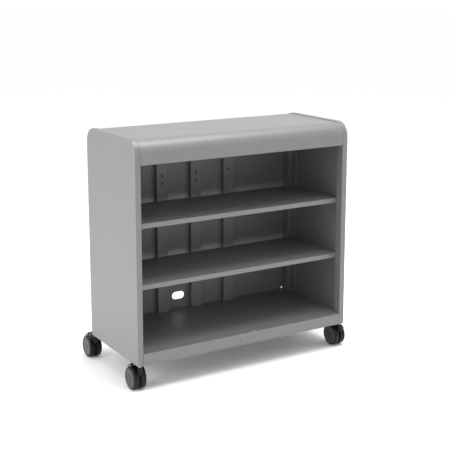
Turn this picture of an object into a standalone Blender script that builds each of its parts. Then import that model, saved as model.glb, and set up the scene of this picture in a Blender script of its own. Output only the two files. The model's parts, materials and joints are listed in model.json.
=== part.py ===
"""Mobile steel bookcase, or book cart: a folded sheet-steel case, two shelves and four twin-wheel casters.

Metres, +Z up, +X to the right, the open front faces -Y. The origin is on the floor, at the centre of the
cart's footprint. Every moving piece has its origin, or its parent empty, on its joint's axis.
"""

import math

import bmesh
import bpy
from mathutils import Matrix, Vector

# Case, outside
WIDTH = 1.040
DEPTH = 0.458
CASE_HEIGHT = 0.924  # from the case's underside to the top of the side panels
CORNER_RADIUS = 0.064
SHEET = 0.0012  # gauge of every folded sheet but the posts and clips
GAP = 0.0003  # between pieces that touch
CUT_OVERRUN = 0.003  # how far a cutter runs past the faces that it opens

# Side panels: trays with a broad edge all round and a lip turned in from it
SIDE_EDGE = 0.025
SIDE_LIP = 0.020

# Top sheet
TOP_STEP_DOWN = 0.004  # how far the top sheet lies below the side panels' rims
FASCIA_DROP = 0.104  # from the rims down to the fascia's lower edge
FASCIA_HEM = 0.018
FASCIA_HEM_UP = 0.010
FASCIA_FOOT_RADIUS = 0.010  # the soft fold at the fascia's foot
TOP_REAR_DROP = 0.084  # from the rims down to the top sheet's rear edge

# Deck
RAIL_HEIGHT = 0.0495
RAIL_LIP = 0.020
RAIL_HOLE_RADIUS = 0.004
RAIL_HOLE_SPACING = 0.068
RAIL_HOLE_LEVEL = 0.025
CATCH_SLOT_WIDTH = 0.027
CATCH_SLOT_DEPTH = 0.009
CATCH_SLOT_SETBACK = 0.003
CATCH_SLOT_OFFSET = 0.039

# Slotted posts, folded from thicker sheet
POST_SHEET = 0.0015
POST_DEPTH = 0.042  # from the case's front or rear face to the post's slotted closing face
POST_TUCK = 0.016  # how far the post reaches back behind the side panel's lip
POST_WING = 0.034  # width of the slotted face that lies along the side panel
POST_STANDOFF = 0.0035  # from the panel's outer face to the back of the slotted face
POST_TOP_CLEARANCE = 0.005
SLOT_PITCH = 0.0127
SLOT_WIDTH = 0.0035
SLOT_HEIGHT = 0.0080

# Shelves, with the heights of their tops above the case's underside
SHELF_TOPS = {"lower_shelf": 0.324, "upper_shelf": 0.578}
SHELF_THICKNESS = 0.0205
SHELF_FRONT_CLEARANCE = 0.0015  # behind the front posts' closing faces
SHELF_REAR_CLEARANCE = 0.001  # in front of the rear posts' slot rows
SHELF_END_CLEARANCE = 0.0006
SHELF_LIP = 0.015

# Shelf clips
CLIP_SHEET = 0.0015
CLIP_WIDTH = 0.016
CLIP_SHELF_REACH = 0.013
CLIP_DROP = 0.026
CLIP_HOOK_DROP = 0.0025
CLIP_SIDE_CLEARANCE = 0.0006  # each side of a hook in its slot

# Back panel and its columns
BACK_TOP_CLEARANCE = 0.002
CABLE_HOLE_LENGTH = 0.062
CABLE_HOLE_HEIGHT = 0.035
CABLE_HOLE_LEVEL = 0.110
VENT_HOLE_RADIUS = 0.003
VENT_HOLE_INSET = 0.004
VENT_HOLE_LEVEL = 0.057
COLUMN_SPACING = 0.1733
COLUMN_FACE = 0.056
COLUMN_DEPTH = 0.022
COLUMN_FLANGE = 0.012
COLUMN_TOP_CLEARANCE = 0.002
HANGING_HOLE_RADIUS = 0.0048
HANGING_HOLE_LEVELS = (0.646, 0.679)

# Casters
STEM_INSET_X = SIDE_EDGE / 2  # under the middle of the side panels' broad edges
STEM_INSET_Y = 0.0115
CASTER_TRAIL = 0.039
WHEEL_RADIUS = 0.047
WHEEL_WIDTH = 0.026
WHEEL_GAP = 0.0075  # between the two wheels of a caster
TREAD_THICKNESS = 0.0057
TREAD_CORNER = 0.003
WEB_THICKNESS = 0.006
WEB_RADIUS = 0.034
HUB_FACE = 0.004
HUB_WALL = 0.004
HUB_BOSS_RADIUS = 0.009
AXLE_RADIUS = 0.004
AXLE_REACH = 0.0215
RUNNING_CLEARANCE = 0.0003
GUARD_CLEARANCE = 0.0012  # between the wheels and the guard over them
GUARD_THICKNESS = 0.002
GUARD_INSET = 0.003
GUARD_FRONT_ANGLE = 140  # from straight behind the wheels' axis, over the top
GUARD_REAR_ANGLE = 62
CASE_ABOVE_GUARD = 0.0108
STEM_SHOWING = 0.0123  # between the case and the swivel boss
SWIVEL_BOSS_RADIUS = 0.011
SWIVEL_BOSS_LENGTH = 0.0252
STEM_RADIUS = 0.0055
STEM_COLLAR_RADIUS = 0.008
STEM_COLLAR_HEIGHT = 0.003
STEM_NECK_RADIUS = 0.0068
STEM_PIN_RADIUS = 0.005
STEM_PIN_LENGTH = 0.0112
STEM_PIN_END_CLEARANCE = 0.0009
STEM_HEIGHT = 0.044
SOCKET_WALL = 0.0020
SOCKET_HEIGHT = 0.045
SOCKET_FLANGE_RADIUS = 0.0092
SOCKET_FLANGE_HEIGHT = 0.003

# Brake pedal: each place is an angle from straight behind the wheels' axis, and a distance beyond the guard
PEDAL_PIVOT_ANGLE = 66.5
PEDAL_PIVOT_OUT = 0.0049
PEDAL_TIP_ANGLE = 38.7
PEDAL_TIP_OUT = 0.0113
PEDAL_THICKNESS = 0.004
PEDAL_WIDTH = 0.024
PEDAL_NECK = 0.012
PEDAL_NECK_LENGTH = 0.0075
PEDAL_EASE = 0.0005  # how much slimmer the neck is than the knuckle and the pad
PEDAL_TRUNNION_RADIUS = 0.002
PEDAL_TRUNNION_REACH = 0.0095
EAR_RADIUS = 0.005
EAR_THICKNESS = 0.0035
EAR_FOOT_BEHIND = 0.0015  # how far an ear's foot reaches past the pivot
EAR_FOOT_ANGLE = 65  # where the foot sinks into the guard

# How finely round shapes are cut
CORNER_STEPS = 8
FOOT_STEPS = 6
GUARD_STEPS = 10
WHEEL_SIDES = 24
WHEEL_ROOM_SIDES = 48
TURNED_SIDES = 16
BOSS_SIDES = 20
PIN_SIDES = 12
SMOOTH_BELOW = 35  # edges that turn through fewer degrees than this are shaded smooth

# Places that follow from the sizes above
GUARD_INNER = WHEEL_RADIUS + GUARD_CLEARANCE
GUARD_OUTER = GUARD_INNER + GUARD_THICKNESS
CASE_LIFT = WHEEL_RADIUS + GUARD_OUTER + CASE_ABOVE_GUARD
SWIVEL_BOSS_TOP = CASE_LIFT - STEM_SHOWING
STEM_PIN_BOTTOM = SWIVEL_BOSS_TOP - STEM_PIN_LENGTH


def beyond_guard(angle, distance):
    """(rearwards, upwards) from the wheels' axis to a place that far beyond the guard."""
    radius = GUARD_OUTER + distance
    return radius * math.cos(math.radians(angle)), radius * math.sin(math.radians(angle))


PEDAL_PIVOT = beyond_guard(PEDAL_PIVOT_ANGLE, PEDAL_PIVOT_OUT)
PEDAL_TIP = beyond_guard(PEDAL_TIP_ANGLE, PEDAL_TIP_OUT)
PEDAL_SLOPE = math.atan2(PEDAL_PIVOT[1] - PEDAL_TIP[1], PEDAL_TIP[0] - PEDAL_PIVOT[0])
REAR_OVERHANG = CASTER_TRAIL - STEM_INSET_Y + PEDAL_TIP[0] + PEDAL_THICKNESS / 2 * math.sin(PEDAL_SLOPE)
FRONT_Y = -(DEPTH + REAR_OVERHANG) / 2
REAR_Y = FRONT_Y + DEPTH
MIDDLE_Y = FRONT_Y + DEPTH / 2
RIGHT_X = WIDTH / 2
BOTTOM_Z = CASE_LIFT
RIM_Z = BOTTOM_Z + CASE_HEIGHT
TOP_SHEET_Z = RIM_Z - TOP_STEP_DOWN
FASCIA_Z = RIM_Z - FASCIA_DROP
DECK_Z = BOTTOM_Z + RAIL_HEIGHT
INNER_X = RIGHT_X - SIDE_EDGE
POST_FACE_X = RIGHT_X - POST_STANDOFF - POST_SHEET
WING_CENTRE_Y = POST_DEPTH + POST_WING / 2
BACK_FACE_Y = REAR_Y - SHEET - GAP
CABLE_HOLE_X = -COLUMN_SPACING / 2

STEEL = {"colour": (0.33, 0.33, 0.345, 1), "roughness": 0.45, "metallic": 0.0}
ZINC = {"colour": (0.62, 0.62, 0.60, 1), "roughness": 0.32, "metallic": 1.0}
NYLON = {"colour": (0.012, 0.012, 0.012, 1), "roughness": 0.4, "metallic": 0.0}
WHEEL_GREY = {"colour": (0.075, 0.075, 0.077, 1), "roughness": 0.45, "metallic": 0.0}
TREAD_BLACK = {"colour": (0.018, 0.018, 0.018, 1), "roughness": 0.55, "metallic": 0.0}


def clear_scene():
    for obj in list(bpy.data.objects):
        bpy.data.objects.remove(obj)


def material(name, look):
    """A Principled material, made once for each name."""
    found = bpy.data.materials.get(name)
    if found:
        return found
    made = bpy.data.materials.new(name)
    made.use_nodes = True
    shader = made.node_tree.nodes["Principled BSDF"]
    shader.inputs["Base Color"].default_value = look["colour"]
    shader.inputs["Roughness"].default_value = look["roughness"]
    shader.inputs["Metallic"].default_value = look["metallic"]
    made.diffuse_color = look["colour"]
    return made


def steel():
    return material("painted_steel", STEEL)


def object_from(name, bm, surface=None):
    """An object made from a bmesh whose coordinates are the object's own."""
    bmesh.ops.recalc_face_normals(bm, faces=bm.faces)
    mesh = bpy.data.meshes.new(name)
    bm.to_mesh(mesh)
    bm.free()
    if surface:
        mesh.materials.append(surface)
    obj = bpy.data.objects.new(name, mesh)
    bpy.context.scene.collection.objects.link(obj)
    return obj


def pivot(name, place, parent=None):
    """An empty on a joint's axis."""
    empty = bpy.data.objects.new(name, None)
    bpy.context.scene.collection.objects.link(empty)
    empty.parent = parent
    empty.location = place
    return empty


def combine(obj, bm, label, operation):
    """Adds the closed shape in bm to obj, or takes it away, with a live Boolean."""
    helper = object_from(f"{label}_of_{obj.name}", bm)
    helper.parent = obj
    helper.hide_render = True
    helper.display_type = "WIRE"
    boolean = obj.modifiers.new(label, "BOOLEAN")
    boolean.operation = operation
    boolean.object = helper
    return helper


def cut(obj, bm, label):
    return combine(obj, bm, label, "DIFFERENCE")


def join(obj, bm, label):
    return combine(obj, bm, label, "UNION")


def shade_round(obj):
    obj.data.shade_smooth()
    obj.data.set_sharp_from_angle(angle=math.radians(SMOOTH_BELOW))


def add_box(bm, low, high):
    low, high = Vector(low), Vector(high)
    place = Matrix.Translation((low + high) / 2) @ Matrix.Diagonal((*(high - low), 1))
    bmesh.ops.create_cube(bm, size=1, matrix=place)


def box_mesh(low, high):
    bm = bmesh.new()
    add_box(bm, low, high)
    return bm


def prism_mesh(points, travel):
    """Closes the loop of points with a face and extrudes it by travel."""
    bm = bmesh.new()
    face = bm.faces.new([bm.verts.new(point) for point in points])
    moved = bmesh.ops.extrude_face_region(bm, geom=[face])["geom"]
    corners = [item for item in moved if isinstance(item, bmesh.types.BMVert)]
    bmesh.ops.translate(bm, verts=corners, vec=travel)
    return bm


def cylinder_mesh(centre, radius, length, axis, sides):
    """A cylinder about centre, turned so that two of its flats face down and up."""
    turn = Matrix.Rotation(math.pi / sides, 4, "Z")
    if axis == "X":
        turn = Matrix.Rotation(math.pi / 2, 4, "Y") @ turn
    if axis == "Y":
        turn = Matrix.Rotation(math.pi / 2, 4, "X") @ turn
    bm = bmesh.new()
    bmesh.ops.create_cone(
        bm, cap_ends=True, segments=sides, radius1=radius, radius2=radius, depth=length,
        matrix=Matrix.Translation(centre) @ turn,
    )
    return bm


def turned_mesh(profile, axis, sides):
    """Spins (along, radius) points about the X or Z axis; a flat faces down on an X axis."""
    bm = bmesh.new()
    along = Vector((1, 0, 0)) if axis == "X" else Vector((0, 0, 1))
    out = Vector((0, 0, 1)) if axis == "X" else Vector((1, 0, 0))
    start = Matrix.Rotation(math.pi / sides, 3, axis)
    swell = 1 / math.cos(math.pi / sides)
    corners = [bm.verts.new(start @ (along * a + out * r * swell)) for a, r in profile]
    edges = [bm.edges.new(pair) for pair in zip(corners, corners[1:] + corners[:1])]
    bmesh.ops.spin(
        bm, geom=edges + corners, cent=(0, 0, 0), axis=along, angle=math.tau, steps=sides, use_merge=True
    )
    bmesh.ops.remove_doubles(bm, verts=bm.verts, dist=1e-6)
    bmesh.ops.dissolve_degenerate(bm, edges=bm.edges, dist=1e-6)
    return bm


def arc(centre, radius, start, end, steps=CORNER_STEPS):
    """Points of an arc in a plane, from start to end degrees."""
    angles = (math.radians(start + (end - start) * i / steps) for i in range(steps + 1))
    return [(centre[0] + radius * math.cos(a), centre[1] + radius * math.sin(a)) for a in angles]


def case_outline(inset):
    """The case's side view as (y, z) points: square at the bottom, round at both top corners."""
    radius = CORNER_RADIUS - inset
    front, rear, top = FRONT_Y + inset, REAR_Y - inset, RIM_Z - inset
    corners = [(front, BOTTOM_Z + inset), (rear, BOTTOM_Z + inset)]
    corners += arc((rear - radius, top - radius), radius, 0, 90)
    corners += arc((front + radius, top - radius), radius, 90, 180)
    return corners


def side_panel(name, side):
    """A tray: outer skin, an edge all round and a lip turned in from it. side is -1 left, 1 right."""
    outer = side * RIGHT_X
    body = [(outer, y, z) for y, z in case_outline(0)]
    obj = object_from(name, prism_mesh(body, (-side * SIDE_EDGE, 0, 0)), steel())
    shade_round(obj)
    inner = outer - side * SHEET
    hollow = [(inner, y, z) for y, z in case_outline(SHEET)]
    cut(obj, prism_mesh(hollow, (-side * (SIDE_EDGE - 2 * SHEET), 0, 0)), "hollow")
    window = [(inner - side * SHEET, y, z) for y, z in case_outline(SIDE_LIP)]
    cut(obj, prism_mesh(window, (-side * SIDE_EDGE, 0, 0)), "window")
    radius = STEM_RADIUS + RUNNING_CLEARANCE + SOCKET_WALL + GAP
    for label, y in (("front_stem", FRONT_Y + STEM_INSET_Y), ("rear_stem", REAR_Y - STEM_INSET_Y)):
        centre = (outer - side * STEM_INSET_X, y, BOTTOM_Z)
        cut(obj, cylinder_mesh(centre, radius, 2 * CUT_OVERRUN, "Z", TURNED_SIDES), label)
    return obj


def top_sheet_path(inset):
    """The top sheet's side view as (y, z) points, inset from its outer face."""
    radius = CORNER_RADIUS - TOP_STEP_DOWN - inset
    front, rear, top = FRONT_Y + inset, REAR_Y - inset, TOP_SHEET_Z - inset
    hem = FRONT_Y + FASCIA_HEM - inset
    path = [(rear, RIM_Z - TOP_REAR_DROP)]
    path += arc((rear - radius, top - radius), radius, 0, 90)
    path += arc((front + radius, top - radius), radius, 90, 180)
    foot = (FRONT_Y + FASCIA_FOOT_RADIUS, FASCIA_Z + FASCIA_FOOT_RADIUS)
    path += arc(foot, FASCIA_FOOT_RADIUS - inset, 180, 270, FOOT_STEPS)
    path += [(hem, FASCIA_Z + inset), (hem, FASCIA_Z + FASCIA_HEM_UP)]
    return path


def top_panel():
    """One sheet: rear drop, round, top, round, fascia and a hem turned in at its foot."""
    half = INNER_X - GAP
    section = top_sheet_path(0) + top_sheet_path(SHEET)[::-1]
    obj = object_from("top_panel", prism_mesh([(-half, y, z) for y, z in section], (2 * half, 0, 0)), steel())
    shade_round(obj)
    return obj


def deck():
    """The bottom shelf: a pan with the front rail and a rear flange folded down, each with a lip."""
    notch_x = INNER_X - GAP
    half = POST_FACE_X - GAP
    front, rear = FRONT_Y, BACK_FACE_Y
    wing_front, wing_rear = FRONT_Y + POST_DEPTH + GAP, REAR_Y - POST_DEPTH - GAP
    low = BOTTOM_Z
    obj = object_from("deck", box_mesh((-notch_x, front, low), (notch_x, rear, DECK_Z)), steel())
    hollow_low = (-notch_x + SHEET, front + SHEET, low + SHEET)
    cut(obj, box_mesh(hollow_low, (notch_x - SHEET, rear - SHEET, DECK_Z - SHEET)), "hollow")
    wing_low = BOTTOM_Z + SIDE_LIP + GAP
    for label, side in (("left", -1), ("right", 1)):
        near, far = sorted((side * (notch_x - SHEET / 2), side * half))
        join(obj, box_mesh((near, wing_front, wing_low), (far, wing_rear, DECK_Z)), f"{label}_wing")
        near, far = sorted((side * notch_x, side * (half - SHEET)))
        room_low = (near, wing_front + SHEET, wing_low - SHEET)
        room = box_mesh(room_low, (far, wing_rear - SHEET, DECK_Z - SHEET))
        cut(obj, room, f"{label}_wing_hollow")
    window_low = (-notch_x + RAIL_LIP, front + RAIL_LIP, low - CUT_OVERRUN)
    window_high = (notch_x - RAIL_LIP, rear - RAIL_LIP, low + CUT_OVERRUN)
    cut(obj, box_mesh(window_low, window_high), "window")
    for index, x in enumerate((-RAIL_HOLE_SPACING / 2, RAIL_HOLE_SPACING / 2)):
        centre = (x, front, BOTTOM_Z + RAIL_HOLE_LEVEL)
        hole = cylinder_mesh(centre, RAIL_HOLE_RADIUS, 2 * CUT_OVERRUN, "Y", TURNED_SIDES)
        cut(obj, hole, f"rail_hole_{index + 1}")
    left, right = CATCH_SLOT_OFFSET - CATCH_SLOT_WIDTH / 2, CATCH_SLOT_OFFSET + CATCH_SLOT_WIDTH / 2
    slot_front = front + CATCH_SLOT_SETBACK
    slot_high = (right, slot_front + CATCH_SLOT_DEPTH, DECK_Z + CUT_OVERRUN)
    cut(obj, box_mesh((left, slot_front, DECK_Z - CUT_OVERRUN), slot_high), "catch_slot")
    return obj


def back_panel():
    """A flat sheet between the side panels' rear edges, with the cable hole and two vent holes."""
    half = INNER_X - GAP
    top = RIM_Z - TOP_REAR_DROP - BACK_TOP_CLEARANCE
    obj = object_from("back_panel", box_mesh((-half, REAR_Y - SHEET, BOTTOM_Z), (half, REAR_Y, top)), steel())
    level = BOTTOM_Z + CABLE_HOLE_LEVEL
    radius = CABLE_HOLE_HEIGHT / 2
    straight = (CABLE_HOLE_LENGTH - CABLE_HOLE_HEIGHT) / 2
    outline = arc((CABLE_HOLE_X + straight, level), radius, -90, 90)
    outline += arc((CABLE_HOLE_X - straight, level), radius, 90, 270)
    hole = [(x, REAR_Y - CUT_OVERRUN, z) for x, z in outline]
    cut(obj, prism_mesh(hole, (0, 2 * CUT_OVERRUN, 0)), "cable_hole")
    for label, side in (("left", -1), ("right", 1)):
        centre = (side * (half - VENT_HOLE_INSET), REAR_Y, BOTTOM_Z + VENT_HOLE_LEVEL)
        hole = cylinder_mesh(centre, VENT_HOLE_RADIUS, 2 * CUT_OVERRUN, "Y", PIN_SIDES)
        cut(obj, hole, f"{label}_vent_hole")
    return obj


def back_column(name, x):
    """A hat section spot-welded to the back panel, with two hanging holes near its top."""
    back = BACK_FACE_Y
    face = back - COLUMN_DEPTH
    half = COLUMN_FACE / 2
    right_half = [
        (half, face), (half, back - SHEET), (half + COLUMN_FLANGE, back - SHEET),
        (half + COLUMN_FLANGE, back), (half - SHEET, back), (half - SHEET, face + SHEET),
    ]
    outline = right_half + [(-dx, y) for dx, y in reversed(right_half)]
    low = DECK_Z + GAP
    height = RIM_Z - CORNER_RADIUS - COLUMN_TOP_CLEARANCE - low
    obj = object_from(name, prism_mesh([(x + dx, y, low) for dx, y in outline], (0, 0, height)), steel())
    for index, level in enumerate(HANGING_HOLE_LEVELS):
        centre = (x, face, BOTTOM_Z + level)
        hole = cylinder_mesh(centre, HANGING_HOLE_RADIUS, 2 * CUT_OVERRUN, "Y", TURNED_SIDES)
        cut(obj, hole, f"hanging_hole_{index + 1}")
    return obj


def clip_slot_levels(shelf_top):
    """The two slots that a clip under this shelf hooks into."""
    first = shelf_top - SHELF_THICKNESS - GAP - CLIP_DROP / 2 + SLOT_PITCH / 2
    return first, first - SLOT_PITCH


def edge_of_case(end):
    """The Y of the case's front (-1) or rear (1) face."""
    return FRONT_Y if end < 0 else REAR_Y


def slotted_post(name, side, end):
    """A folded post in the corner of a side panel. side is -1 left, 1 right; end is -1 front, 1 rear."""
    tuck_x = INNER_X + SHEET + GAP
    skin_x = RIGHT_X - SHEET - GAP
    leg_y = SIDE_LIP - POST_TUCK
    closing_y = POST_DEPTH
    wing_y = POST_DEPTH + POST_WING
    overlap_y = closing_y - POST_SHEET / 2
    return_leg = [
        (tuck_x, leg_y), (tuck_x, closing_y), (skin_x, closing_y), (skin_x, closing_y - POST_SHEET),
        (tuck_x + POST_SHEET, closing_y - POST_SHEET), (tuck_x + POST_SHEET, leg_y),
    ]
    wing = [
        (POST_FACE_X, overlap_y), (POST_FACE_X, wing_y), (skin_x, wing_y), (skin_x, wing_y - POST_SHEET),
        (POST_FACE_X + POST_SHEET, wing_y - POST_SHEET), (POST_FACE_X + POST_SHEET, overlap_y),
    ]
    low = BOTTOM_Z + SHEET + GAP
    rise = (0, 0, RIM_Z - CORNER_RADIUS - POST_TOP_CLEARANCE - low)

    def placed(points):
        return [(side * x, edge_of_case(end) - end * y, low) for x, y in points]

    obj = object_from(name, prism_mesh(placed(return_leg), rise), steel())
    join(obj, prism_mesh(placed(wing), rise), "wing")
    slot_y = edge_of_case(end) - end * WING_CENTRE_Y
    slot_x = side * (POST_FACE_X + POST_SHEET / 2)
    reach = Vector((POST_SHEET, SLOT_WIDTH / 2, SLOT_HEIGHT / 2))
    for shelf_name, top in SHELF_TOPS.items():
        for index, level in enumerate(clip_slot_levels(top)):
            middle = Vector((slot_x, slot_y, BOTTOM_Z + level))
            cut(obj, box_mesh(middle - reach, middle + reach), f"{shelf_name}_slot_{index + 1}")
    return obj


def shelf(name, top):
    """A pan folded down on all four sides, with a lip under each."""
    half = POST_FACE_X - GAP - SHELF_END_CLEARANCE
    high = BOTTOM_Z + top
    low = high - SHELF_THICKNESS
    front = FRONT_Y + POST_DEPTH + SHELF_FRONT_CLEARANCE
    rear = REAR_Y - WING_CENTRE_Y - SHELF_REAR_CLEARANCE
    obj = object_from(name, box_mesh((-half, front, low), (half, rear, high)), steel())
    inside_low = (-half + SHEET, front + SHEET, low + SHEET)
    cut(obj, box_mesh(inside_low, (half - SHEET, rear - SHEET, high - SHEET)), "hollow")
    window_low = (-half + SHELF_LIP, front + SHELF_LIP, low - CUT_OVERRUN)
    window_high = (half - SHELF_LIP, rear - SHELF_LIP, low + CUT_OVERRUN)
    cut(obj, box_mesh(window_low, window_high), "window")
    return obj


def shelf_clip(name, side, end, shelf_top):
    """A bent clip: a ledge under the shelf, a plate down the post and two hooks through its slots."""
    plate = POST_FACE_X - GAP
    ledge_top = BOTTOM_Z + shelf_top - SHELF_THICKNESS - GAP
    middle = edge_of_case(end) - end * WING_CENTRE_Y

    def block(x_in, x_out, width, low, high):
        near, far = sorted((side * x_in, side * x_out))
        return box_mesh((near, middle - width / 2, low), (far, middle + width / 2, high))

    ledge = block(plate - CLIP_SHELF_REACH, plate, CLIP_WIDTH, ledge_top - CLIP_SHEET, ledge_top)
    obj = object_from(name, ledge, material("zinc_plate", ZINC))
    join(obj, block(plate - CLIP_SHEET, plate, CLIP_WIDTH, ledge_top - CLIP_DROP, ledge_top), "plate")
    hook_width = SLOT_WIDTH - 2 * CLIP_SIDE_CLEARANCE
    behind = POST_FACE_X + POST_SHEET + GAP
    for index, slot_level in enumerate(clip_slot_levels(shelf_top)):
        level = BOTTOM_Z + slot_level
        high = level + SLOT_HEIGHT / 2 - CLIP_SIDE_CLEARANCE
        low = level - CLIP_SHEET / 2
        shank = block(plate - CLIP_SHEET / 2, behind + CLIP_SHEET, hook_width, low, high)
        join(obj, shank, f"shank_{index + 1}")
        tip_low = level - SLOT_HEIGHT / 2 - CLIP_HOOK_DROP
        join(obj, block(behind, behind + CLIP_SHEET, hook_width, tip_low, level), f"hook_{index + 1}")
    return obj


def stem_socket(name, place):
    """A tube welded inside the side panel's corner, with a flange on the panel's bottom edge."""
    bore = STEM_RADIUS + RUNNING_CLEARANCE
    outer = bore + SOCKET_WALL
    floor = SHEET + GAP
    flange_top = floor + SOCKET_FLANGE_HEIGHT
    profile = [
        (0, bore), (0, outer), (floor, outer), (floor, SOCKET_FLANGE_RADIUS),
        (flange_top, SOCKET_FLANGE_RADIUS), (flange_top, outer), (SOCKET_HEIGHT, outer), (SOCKET_HEIGHT, bore),
    ]
    obj = object_from(name, turned_mesh(profile, "Z", TURNED_SIDES), material("zinc_plate", ZINC))
    obj.location = (place.x, place.y, BOTTOM_Z)
    shade_round(obj)
    return obj


def caster_stem(name, place):
    """The fixed stem: a shank up into the socket, a collar, a neck, and a pin down into the caster's boss."""
    neck_low = SWIVEL_BOSS_TOP + GAP - BOTTOM_Z
    pin_low = STEM_PIN_BOTTOM - BOTTOM_Z
    collar_top = -GAP
    collar_low = collar_top - STEM_COLLAR_HEIGHT
    profile = [
        (pin_low, 0), (pin_low, STEM_PIN_RADIUS), (neck_low, STEM_PIN_RADIUS), (neck_low, STEM_NECK_RADIUS),
        (collar_low, STEM_NECK_RADIUS), (collar_low, STEM_COLLAR_RADIUS), (collar_top, STEM_COLLAR_RADIUS),
        (collar_top, STEM_RADIUS), (STEM_HEIGHT, STEM_RADIUS), (STEM_HEIGHT, 0),
    ]
    obj = object_from(name, turned_mesh(profile, "Z", TURNED_SIDES), material("zinc_plate", ZINC))
    obj.location = (place.x, place.y, BOTTOM_Z)
    shade_round(obj)
    return obj


def wheel_guard(half):
    """The guard's curved plate over both wheels, about the swivel's own origin."""
    centre = (CASTER_TRAIL, WHEEL_RADIUS)
    section = arc(centre, GUARD_OUTER, GUARD_REAR_ANGLE, GUARD_FRONT_ANGLE, GUARD_STEPS)
    section += arc(centre, GUARD_INNER, GUARD_FRONT_ANGLE, GUARD_REAR_ANGLE, GUARD_STEPS)
    return prism_mesh([(-half, y, z) for y, z in section], (2 * half, 0, 0))


def web_between_wheels():
    """The web that carries the axle, from the guard down round the axle."""
    centre = (CASTER_TRAIL, WHEEL_RADIUS)
    half = WEB_THICKNESS / 2
    within_guard = (GUARD_INNER + GUARD_OUTER) / 2
    section = arc(centre, within_guard, GUARD_REAR_ANGLE, GUARD_FRONT_ANGLE, GUARD_STEPS)
    section += arc(centre, WEB_RADIUS, 180, 360, GUARD_STEPS)
    return prism_mesh([(-half, y, z) for y, z in section], (2 * half, 0, 0))


def pedal_ears(obj, pedal_y, pedal_z):
    """Two ears that hold the pedal's trunnions, standing on the guard."""
    inner = PEDAL_NECK / 2 + GAP
    foot_low = WHEEL_RADIUS + GUARD_INNER * math.sin(math.radians(EAR_FOOT_ANGLE))
    for index, side in enumerate((-1, 1)):
        near, far = sorted((side * inner, side * (inner + EAR_THICKNESS)))
        centre = ((near + far) / 2, pedal_y, pedal_z)
        join(obj, cylinder_mesh(centre, EAR_RADIUS, EAR_THICKNESS, "X", TURNED_SIDES), f"ear_{index + 1}")
        foot_front = pedal_y - EAR_RADIUS + PEDAL_EASE
        foot = box_mesh((near, foot_front, foot_low), (far, pedal_y + EAR_FOOT_BEHIND, pedal_z))
        join(obj, foot, f"ear_foot_{index + 1}")


def hood(name, swivel):
    """The swivelling body: a web between the wheels, a guard over their tops, the swivel boss and the ears.

    Its own origin is on the swivel axis at floor level, and the wheels' axis is CASTER_TRAIL behind it.
    """
    obj = object_from(
        name, wheel_guard(WHEEL_GAP / 2 + WHEEL_WIDTH - GUARD_INSET), material("hood_nylon", NYLON)
    )
    shade_round(obj)
    join(obj, web_between_wheels(), "web")
    boss_middle = SWIVEL_BOSS_TOP - SWIVEL_BOSS_LENGTH / 2
    boss = cylinder_mesh((0, 0, boss_middle), SWIVEL_BOSS_RADIUS, SWIVEL_BOSS_LENGTH, "Z", BOSS_SIDES)
    shade_round(join(obj, boss, "boss"))
    pedal_y = CASTER_TRAIL + PEDAL_PIVOT[0]
    pedal_z = WHEEL_RADIUS + PEDAL_PIVOT[1]
    pedal_ears(obj, pedal_y, pedal_z)
    room_near = WEB_THICKNESS / 2 + GAP
    room_far = WHEEL_GAP / 2 + WHEEL_WIDTH + CUT_OVERRUN
    for index, side in enumerate((-1, 1)):
        centre = (side * (room_near + room_far) / 2, CASTER_TRAIL, WHEEL_RADIUS)
        room = cylinder_mesh(centre, GUARD_INNER, room_far - room_near, "X", WHEEL_ROOM_SIDES)
        cut(obj, room, f"wheel_room_{index + 1}")
    bore_low = STEM_PIN_BOTTOM - STEM_PIN_END_CLEARANCE
    bore_high = SWIVEL_BOSS_TOP + CUT_OVERRUN
    bore_centre = (0, 0, (bore_low + bore_high) / 2)
    bore_radius = STEM_PIN_RADIUS + RUNNING_CLEARANCE
    cut(obj, cylinder_mesh(bore_centre, bore_radius, bore_high - bore_low, "Z", TURNED_SIDES), "stem_bore")
    axle_bore_length = WEB_THICKNESS + 2 * CUT_OVERRUN
    axle_centre = (0, CASTER_TRAIL, WHEEL_RADIUS)
    cut(obj, cylinder_mesh(axle_centre, AXLE_RADIUS + GAP, axle_bore_length, "X", TURNED_SIDES), "axle_bore")
    trunnion = PEDAL_TRUNNION_RADIUS + RUNNING_CLEARANCE
    pedal_bore_length = PEDAL_NECK + 2 * EAR_THICKNESS + 2 * CUT_OVERRUN
    pedal_bore = cylinder_mesh((0, pedal_y, pedal_z), trunnion, pedal_bore_length, "X", PIN_SIDES)
    cut(obj, pedal_bore, "pedal_bore")
    obj.parent = swivel
    return obj


def axle(name, swivel):
    pin = cylinder_mesh((0, 0, 0), AXLE_RADIUS, 2 * AXLE_REACH, "X", TURNED_SIDES)
    obj = object_from(name, pin, material("zinc_plate", ZINC))
    obj.parent = swivel
    obj.location = (0, CASTER_TRAIL, WHEEL_RADIUS)
    shade_round(obj)
    return obj


def wheel_hub(name, wheel, side):
    """A cup with a closed outer face, a rim and a boss with a blind bore. side is -1 left, 1 right."""
    rim = WHEEL_RADIUS - TREAD_THICKNESS - GAP
    bore = AXLE_RADIUS + RUNNING_CLEARANCE
    near = WHEEL_GAP / 2
    far = near + WHEEL_WIDTH
    pocket = AXLE_REACH + GAP
    profile = [
        (far, 0), (far, rim - HUB_WALL), (far - HUB_FACE / 2, rim), (near, rim), (near, rim - HUB_WALL),
        (far - HUB_FACE, rim - HUB_WALL), (far - HUB_FACE, HUB_BOSS_RADIUS), (near, HUB_BOSS_RADIUS),
        (near, bore), (pocket, bore), (pocket, 0),
    ]
    mesh = turned_mesh([(side * a, r) for a, r in profile], "X", WHEEL_SIDES)
    obj = object_from(name, mesh, material("wheel_grey", WHEEL_GREY))
    obj.parent = wheel
    shade_round(obj)
    return obj


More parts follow.
